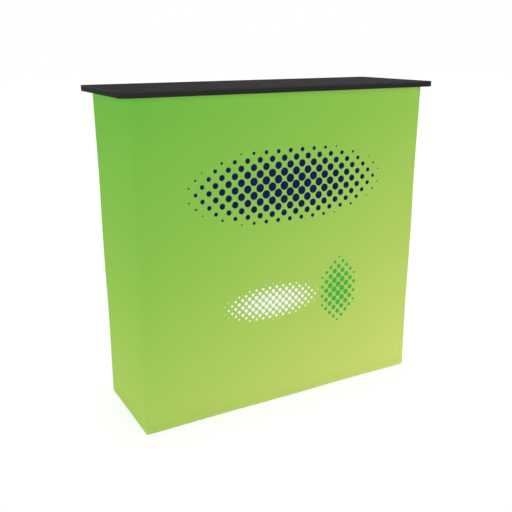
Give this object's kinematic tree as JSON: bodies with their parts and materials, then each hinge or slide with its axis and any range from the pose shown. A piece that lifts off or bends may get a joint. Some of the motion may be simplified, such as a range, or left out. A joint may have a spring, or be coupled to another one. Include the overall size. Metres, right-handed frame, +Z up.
{
  "type": "exhibition counter",
  "caption": "Portable exhibition counter: a folding scissor frame under a stretch-fabric skin, with an open back and a flat lift-off worktop.",
  "frame": {"origin": "on the floor, under the middle of the counter's bounding box", "axes": "+Z up, -Y the covered front that faces the visitors, +X along the counter to the right as seen from the front"},
  "size_m": [1.01, 0.356, 0.9711],
  "materials": {
    "hub_plastic": "fine moulded texture, satin black",
    "strut_aluminium": "satin anodised tube with moulded ends",
    "foot_rubber": "matt black",
    "lock_plastic": "moulded, satin grey",
    "skin_fabric": "knitted stretch fabric, green to yellow-green gradient",
    "worktop_laminate": "matt black laminate on board",
    "worktop_banding": "satin black edge band"
  },
  "bodies": {
    "hub_front_left_bottom": {"hub_front_left_bottom": "hub_plastic", "foot_front_left": "foot_rubber"},
    "hub_front_left_middle": {"hub_front_left_middle": "hub_plastic", "lock_post_front_left": "lock_plastic"},
    "hub_front_left_top": {"hub_front_left_top": "hub_plastic"},
    "hub_front_centre_bottom": {"hub_front_centre_bottom": "hub_plastic", "foot_front_centre": "foot_rubber", "fabric_skin": "skin_fabric"},
    "hub_front_centre_middle": {"hub_front_centre_middle": "hub_plastic", "lock_post_front_centre": "lock_plastic"},
    "hub_front_centre_top": {"hub_front_centre_top": "hub_plastic"},
    "hub_front_right_bottom": {"hub_front_right_bottom": "hub_plastic", "foot_front_right": "foot_rubber"},
    "hub_front_right_middle": {"hub_front_right_middle": "hub_plastic", "lock_post_front_right": "lock_plastic"},
    "hub_front_right_top": {"hub_front_right_top": "hub_plastic"},
    "hub_back_left_bottom": {"hub_back_left_bottom": "hub_plastic", "foot_back_left": "foot_rubber"},
    "hub_back_left_middle": {"hub_back_left_middle": "hub_plastic", "lock_post_back_left": "lock_plastic"},
    "hub_back_left_top": {"hub_back_left_top": "hub_plastic"},
    "hub_back_centre_bottom": {"hub_back_centre_bottom": "hub_plastic", "foot_back_centre": "foot_rubber"},
    "hub_back_centre_middle": {"hub_back_centre_middle": "hub_plastic", "lock_post_back_centre": "lock_plastic"},
    "hub_back_centre_top": {"hub_back_centre_top": "hub_plastic"},
    "hub_back_right_bottom": {"hub_back_right_bottom": "hub_plastic", "foot_back_right": "foot_rubber"},
    "hub_back_right_middle": {"hub_back_right_middle": "hub_plastic", "lock_post_back_right": "lock_plastic"},
    "hub_back_right_top": {"hub_back_right_top": "hub_plastic"},
    "level_strut_bottom_left_to_back": {"level_strut_bottom_left_to_back": "strut_aluminium"},
    "level_strut_middle_left_to_back": {"level_strut_middle_left_to_back": "strut_aluminium"},
    "level_strut_top_left_to_back": {"level_strut_top_left_to_back": "strut_aluminium"},
    "level_strut_bottom_right_to_back": {"level_strut_bottom_right_to_back": "strut_aluminium"},
    "level_strut_middle_right_to_back": {"level_strut_middle_right_to_back": "strut_aluminium"},
    "level_strut_top_right_to_back": {"level_strut_top_right_to_back": "strut_aluminium"},
    "upright_strut_left_lower_to_back": {"upright_strut_left_lower_to_back": "strut_aluminium"},
    "upright_strut_left_upper_to_back": {"upright_strut_left_upper_to_back": "strut_aluminium"},
    "upright_strut_centre_lower_to_back": {"upright_strut_centre_lower_to_back": "strut_aluminium"},
    "upright_strut_centre_upper_to_back": {"upright_strut_centre_upper_to_back": "strut_aluminium"},
    "upright_strut_right_lower_to_back": {"upright_strut_right_lower_to_back": "strut_aluminium"},
    "upright_strut_right_upper_to_back": {"upright_strut_right_upper_to_back": "strut_aluminium"},
    "level_strut_bottom_left_to_front": {"level_strut_bottom_left_to_front": "strut_aluminium"},
    "level_strut_middle_left_to_front": {"level_strut_middle_left_to_front": "strut_aluminium"},
    "level_strut_top_left_to_front": {"level_strut_top_left_to_front": "strut_aluminium"},
    "level_strut_bottom_right_to_front": {"level_strut_bottom_right_to_front": "strut_aluminium"},
    "level_strut_middle_right_to_front": {"level_strut_middle_right_to_front": "strut_aluminium"},
    "level_strut_top_right_to_front": {"level_strut_top_right_to_front": "strut_aluminium"},
    "upright_strut_left_lower_to_front": {"upright_strut_left_lower_to_front": "strut_aluminium"},
    "upright_strut_left_upper_to_front": {"upright_strut_left_upper_to_front": "strut_aluminium"},
    "upright_strut_centre_lower_to_front": {"upright_strut_centre_lower_to_front": "strut_aluminium"},
    "upright_strut_centre_upper_to_front": {"upright_strut_centre_upper_to_front": "strut_aluminium"},
    "upright_strut_right_lower_to_front": {"upright_strut_right_lower_to_front": "strut_aluminium"},
    "upright_strut_right_upper_to_front": {"upright_strut_right_upper_to_front": "strut_aluminium"},
    "worktop": {"worktop_board": "worktop_laminate", "worktop_edge_band": "worktop_banding"}
  },
  "joints": [
    {"name": "frame_fold", "type": "hinge", "parent": "hub_front_centre_bottom", "child": "upright_strut_centre_lower_to_back", "pos_m": [0.006, -0.1425, 0.0503], "axis": [-1, 0, 0], "range_deg": [0, 51], "deforming": ["fabric_skin"]},
    {"name": "upright_strut_centre_lower_to_front_turn", "type": "hinge", "parent": "upright_strut_centre_lower_to_back", "child": "upright_strut_centre_lower_to_front", "pos_m": [-0.006, 0, 0.25605], "axis": [1, 0, 0], "range_deg": [0, 102]},
    {"name": "hub_back_centre_bottom_turn", "type": "hinge", "parent": "upright_strut_centre_lower_to_front", "child": "hub_back_centre_bottom", "pos_m": [-0.006, 0.1425, 0.0503], "axis": [-1, 0, 0], "range_deg": [0, 51]},
    {"name": "hub_front_centre_middle_turn", "type": "hinge", "parent": "upright_strut_centre_lower_to_front", "child": "hub_front_centre_middle", "pos_m": [-0.006, -0.1425, 0.4618], "axis": [-1, 0, 0], "range_deg": [0, 51]},
    {"name": "hub_back_centre_middle_turn", "type": "hinge", "parent": "upright_strut_centre_lower_to_back", "child": "hub_back_centre_middle", "pos_m": [0.006, 0.1425, 0.4618], "axis": [1, 0, 0], "range_deg": [0, 51]},
    {"name": "upright_strut_centre_upper_to_back_turn", "type": "hinge", "parent": "hub_front_centre_middle", "child": "upright_strut_centre_upper_to_back", "pos_m": [0.006, -0.1425, 0.4978], "axis": [-1, 0, 0], "range_deg": [0, 51]},
    {"name": "upright_strut_centre_upper_to_front_turn", "type": "hinge", "parent": "upright_strut_centre_upper_to_back", "child": "upright_strut_centre_upper_to_front", "pos_m": [-0.006, 0, 0.70355], "axis": [1, 0, 0], "range_deg": [0, 102]},
    {"name": "hub_front_centre_top_turn", "type": "hinge", "parent": "upright_strut_centre_upper_to_front", "child": "hub_front_centre_top", "pos_m": [-0.006, -0.1425, 0.9093], "axis": [-1, 0, 0], "range_deg": [0, 51]},
    {"name": "hub_back_centre_top_turn", "type": "hinge", "parent": "upright_strut_centre_upper_to_back", "child": "hub_back_centre_top", "pos_m": [0.006, 0.1425, 0.9093], "axis": [1, 0, 0], "range_deg": [0, 51]},
    {"name": "level_strut_bottom_right_to_back_turn", "type": "hinge", "parent": "hub_front_centre_bottom", "child": "level_strut_bottom_right_to_back", "pos_m": [0.018, -0.1425, 0.0263], "axis": [0, 0, 1], "range_deg": [0, 51]},
    {"name": "level_strut_bottom_right_to_front_turn", "type": "hinge", "parent": "level_strut_bottom_right_to_back", "child": "level_strut_bottom_right_to_front", "pos_m": [0.22375, 0, 0.0383], "axis": [0, 0, -1], "range_deg": [0, 102]},
    {"name": "hub_back_right_bottom_turn", "type": "hinge", "parent": "level_strut_bottom_right_to_back", "child": "hub_back_right_bottom", "pos_m": [0.4295, 0.1425, 0.0263], "axis": [0, 0, -1], "range_deg": [0, 51]},
    {"name": "hub_front_right_bottom_turn", "type": "hinge", "parent": "level_strut_bottom_right_to_front", "child": "hub_front_right_bottom", "pos_m": [0.4295, -0.1425, 0.0383], "axis": [0, 0, 1], "range_deg": [0, 51]},
    {"name": "level_strut_bottom_left_to_front_turn", "type": "hinge", "parent": "hub_front_centre_bottom", "child": "level_strut_bottom_left_to_front", "pos_m": [-0.018, -0.1425, 0.0383], "axis": [0, 0, -1], "range_deg": [0, 51]},
    {"name": "level_strut_bottom_left_to_back_turn", "type": "hinge", "parent": "level_strut_bottom_left_to_front", "child": "level_strut_bottom_left_to_back", "pos_m": [-0.22375, 0, 0.0263], "axis": [0, 0, 1], "range_deg": [0, 102]},
    {"name": "hub_back_left_bottom_turn", "type": "hinge", "parent": "level_strut_bottom_left_to_front", "child": "hub_back_left_bottom", "pos_m": [-0.4295, 0.1425, 0.0383], "axis": [0, 0, 1], "range_deg": [0, 51]},
    {"name": "hub_front_left_bottom_turn", "type": "hinge", "parent": "level_strut_bottom_left_to_back", "child": "hub_front_left_bottom", "pos_m": [-0.4295, -0.1425, 0.0263], "axis": [0, 0, -1], "range_deg": [0, 51]},
    {"name": "level_strut_middle_right_to_back_turn", "type": "hinge", "parent": "hub_front_centre_middle", "child": "level_strut_middle_right_to_back", "pos_m": [0.018, -0.1425, 0.4738], "axis": [0, 0, 1], "range_deg": [0, 51]},
    {"name": "level_strut_middle_right_to_front_turn", "type": "hinge", "parent": "level_strut_middle_right_to_back", "child": "level_strut_middle_right_to_front", "pos_m": [0.22375, 0, 0.4858], "axis": [0, 0, -1], "range_deg": [0, 102]},
    {"name": "hub_back_right_middle_turn", "type": "hinge", "parent": "level_strut_middle_right_to_back", "child": "hub_back_right_middle", "pos_m": [0.4295, 0.1425, 0.4738], "axis": [0, 0, -1], "range_deg": [0, 51]},
    {"name": "hub_front_right_middle_turn", "type": "hinge", "parent": "level_strut_middle_right_to_front", "child": "hub_front_right_middle", "pos_m": [0.4295, -0.1425, 0.4858], "axis": [0, 0, 1], "range_deg": [0, 51]},
    {"name": "level_strut_middle_left_to_front_turn", "type": "hinge", "parent": "hub_front_centre_middle", "child": "level_strut_middle_left_to_front", "pos_m": [-0.018, -0.1425, 0.4858], "axis": [0, 0, -1], "range_deg": [0, 51]},
    {"name": "level_strut_middle_left_to_back_turn", "type": "hinge", "parent": "level_strut_middle_left_to_front", "child": "level_strut_middle_left_to_back", "pos_m": [-0.22375, 0, 0.4738], "axis": [0, 0, 1], "range_deg": [0, 102]},
    {"name": "hub_back_left_middle_turn", "type": "hinge", "parent": "level_strut_middle_left_to_front", "child": "hub_back_left_middle", "pos_m": [-0.4295, 0.1425, 0.4858], "axis": [0, 0, 1], "range_deg": [0, 51]},
    {"name": "hub_front_left_middle_turn", "type": "hinge", "parent": "level_strut_middle_left_to_back", "child": "hub_front_left_middle", "pos_m": [-0.4295, -0.1425, 0.4738], "axis": [0, 0, -1], "range_deg": [0, 51]},
    {"name": "level_strut_top_right_to_back_turn", "type": "hinge", "parent": "hub_front_centre_top", "child": "level_strut_top_right_to_back", "pos_m": [0.018, -0.1425, 0.9213], "axis": [0, 0, 1], "range_deg": [0, 51]},
    {"name": "level_strut_top_right_to_front_turn", "type": "hinge", "parent": "level_strut_top_right_to_back", "child": "level_strut_top_right_to_front", "pos_m": [0.22375, 0, 0.9333], "axis": [0, 0, -1], "range_deg": [0, 102]},
    {"name": "hub_back_right_top_turn", "type": "hinge", "parent": "level_strut_top_right_to_back", "child": "hub_back_right_top", "pos_m": [0.4295, 0.1425, 0.9213], "axis": [0, 0, -1], "range_deg": [0, 51]},
    {"name": "hub_front_right_top_turn", "type": "hinge", "parent": "level_strut_top_right_to_front", "child": "hub_front_right_top", "pos_m": [0.4295, -0.1425, 0.9333], "axis": [0, 0, 1], "range_deg": [0, 51]},
    {"name": "level_strut_top_left_to_front_turn", "type": "hinge", "parent": "hub_front_centre_top", "child": "level_strut_top_left_to_front", "pos_m": [-0.018, -0.1425, 0.9333], "axis": [0, 0, -1], "range_deg": [0, 51]},
    {"name": "level_strut_top_left_to_back_turn", "type": "hinge", "parent": "level_strut_top_left_to_front", "child": "level_strut_top_left_to_back", "pos_m": [-0.22375, 0, 0.9213], "axis": [0, 0, 1], "range_deg": [0, 102]},
    {"name": "hub_back_left_top_turn", "type": "hinge", "parent": "level_strut_top_left_to_front", "child": "hub_back_left_top", "pos_m": [-0.4295, 0.1425, 0.9333], "axis": [0, 0, 1], "range_deg": [0, 51]},
    {"name": "hub_front_left_top_turn", "type": "hinge", "parent": "level_strut_top_left_to_back", "child": "hub_front_left_top", "pos_m": [-0.4295, -0.1425, 0.9213], "axis": [0, 0, -1], "range_deg": [0, 51]},
    {"name": "upright_strut_left_lower_to_back_turn", "type": "hinge", "parent": "hub_front_left_bottom", "child": "upright_strut_left_lower_to_back", "pos_m": [-0.4415, -0.1425, 0.0503], "axis": [-1, 0, 0], "range_deg": [0, 51]},
    {"name": "upright_strut_left_lower_to_front_turn", "type": "hinge", "parent": "upright_strut_left_lower_to_back", "child": "upright_strut_left_lower_to_front", "pos_m": [-0.4535, 0, 0.25605], "axis": [1, 0, 0], "range_deg": [0, 102]},
    {"name": "upright_strut_left_upper_to_back_turn", "type": "hinge", "parent": "hub_front_left_middle", "child": "upright_strut_left_upper_to_back", "pos_m": [-0.4415, -0.1425, 0.4978], "axis": [-1, 0, 0], "range_deg": [0, 51]},
    {"name": "upright_strut_left_upper_to_front_turn", "type": "hinge", "parent": "upright_strut_left_upper_to_back", "child": "upright_strut_left_upper_to_front", "pos_m": [-0.4535, 0, 0.70355], "axis": [1, 0, 0], "range_deg": [0, 102]},
    {"name": "upright_strut_right_lower_to_back_turn", "type": "hinge", "parent": "hub_front_right_bottom", "child": "upright_strut_right_lower_to_back", "pos_m": [0.4535, -0.1425, 0.0503], "axis": [-1, 0, 0], "range_deg": [0, 51]},
    {"name": "upright_strut_right_lower_to_front_turn", "type": "hinge", "parent": "upright_strut_right_lower_to_back", "child": "upright_strut_right_lower_to_front", "pos_m": [0.4415, 0, 0.25605], "axis": [1, 0, 0], "range_deg": [0, 102]},
    {"name": "upright_strut_right_upper_to_back_turn", "type": "hinge", "parent": "hub_front_right_middle", "child": "upright_strut_right_upper_to_back", "pos_m": [0.4535, -0.1425, 0.4978], "axis": [-1, 0, 0], "range_deg": [0, 51]},
    {"name": "upright_strut_right_upper_to_front_turn", "type": "hinge", "parent": "upright_strut_right_upper_to_back", "child": "upright_strut_right_upper_to_front", "pos_m": [0.4415, 0, 0.70355], "axis": [1, 0, 0], "range_deg": [0, 102]},
    {"name": "worktop_lift", "type": "slide", "parent": "hub_front_centre_top", "child": "worktop", "axis": [0, 0, 1], "range_m": [0, 0.15]}
  ],
  "couplings": [
    {"joint": "upright_strut_centre_lower_to_front_turn", "follows": "frame_fold", "ratio": 2},
    {"joint": "hub_back_centre_bottom_turn", "follows": "frame_fold", "ratio": 1},
    {"joint": "hub_front_centre_middle_turn", "follows": "frame_fold", "ratio": 1},
    {"joint": "hub_back_centre_middle_turn", "follows": "frame_fold", "ratio": 1},
    {"joint": "upright_strut_centre_upper_to_back_turn", "follows": "frame_fold", "ratio": 1},
    {"joint": "upright_strut_centre_upper_to_front_turn", "follows": "frame_fold", "ratio": 2},
    {"joint": "hub_front_centre_top_turn", "follows": "frame_fold", "ratio": 1},
    {"joint": "hub_back_centre_top_turn", "follows": "frame_fold", "ratio": 1},
    {"joint": "level_strut_bottom_right_to_back_turn", "follows": "frame_fold", "ratio": 1},
    {"joint": "level_strut_bottom_right_to_front_turn", "follows": "frame_fold", "ratio": 2},
    {"joint": "hub_back_right_bottom_turn", "follows": "frame_fold", "ratio": 1},
    {"joint": "hub_front_right_bottom_turn", "follows": "frame_fold", "ratio": 1},
    {"joint": "level_strut_bottom_left_to_front_turn", "follows": "frame_fold", "ratio": 1},
    {"joint": "level_strut_bottom_left_to_back_turn", "follows": "frame_fold", "ratio": 2},
    {"joint": "hub_back_left_bottom_turn", "follows": "frame_fold", "ratio": 1},
    {"joint": "hub_front_left_bottom_turn", "follows": "frame_fold", "ratio": 1},
    {"joint": "level_strut_middle_right_to_back_turn", "follows": "frame_fold", "ratio": 1},
    {"joint": "level_strut_middle_right_to_front_turn", "follows": "frame_fold", "ratio": 2},
    {"joint": "hub_back_right_middle_turn", "follows": "frame_fold", "ratio": 1},
    {"joint": "hub_front_right_middle_turn", "follows": "frame_fold", "ratio": 1},
    {"joint": "level_strut_middle_left_to_front_turn", "follows": "frame_fold", "ratio": 1},
    {"joint": "level_strut_middle_left_to_back_turn", "follows": "frame_fold", "ratio": 2},
    {"joint": "hub_back_left_middle_turn", "follows": "frame_fold", "ratio": 1},
    {"joint": "hub_front_left_middle_turn", "follows": "frame_fold", "ratio": 1},
    {"joint": "level_strut_top_right_to_back_turn", "follows": "frame_fold", "ratio": 1},
    {"joint": "level_strut_top_right_to_front_turn", "follows": "frame_fold", "ratio": 2},
    {"joint": "hub_back_right_top_turn", "follows": "frame_fold", "ratio": 1},
    {"joint": "hub_front_right_top_turn", "follows": "frame_fold", "ratio": 1},
    {"joint": "level_strut_top_left_to_front_turn", "follows": "frame_fold", "ratio": 1},
    {"joint": "level_strut_top_left_to_back_turn", "follows": "frame_fold", "ratio": 2},
    {"joint": "hub_back_left_top_turn", "follows": "frame_fold", "ratio": 1},
    {"joint": "hub_front_left_top_turn", "follows": "frame_fold", "ratio": 1},
    {"joint": "upright_strut_left_lower_to_back_turn", "follows": "frame_fold", "ratio": 1},
    {"joint": "upright_strut_left_lower_to_front_turn", "follows": "frame_fold", "ratio": 2},
    {"joint": "upright_strut_left_upper_to_back_turn", "follows": "frame_fold", "ratio": 1},
    {"joint": "upright_strut_left_upper_to_front_turn", "follows": "frame_fold", "ratio": 2},
    {"joint": "upright_strut_right_lower_to_back_turn", "follows": "frame_fold", "ratio": 1},
    {"joint": "upright_strut_right_lower_to_front_turn", "follows": "frame_fold", "ratio": 2},
    {"joint": "upright_strut_right_upper_to_back_turn", "follows": "frame_fold", "ratio": 1},
    {"joint": "upright_strut_right_upper_to_front_turn", "follows": "frame_fold", "ratio": 2}
  ]
}
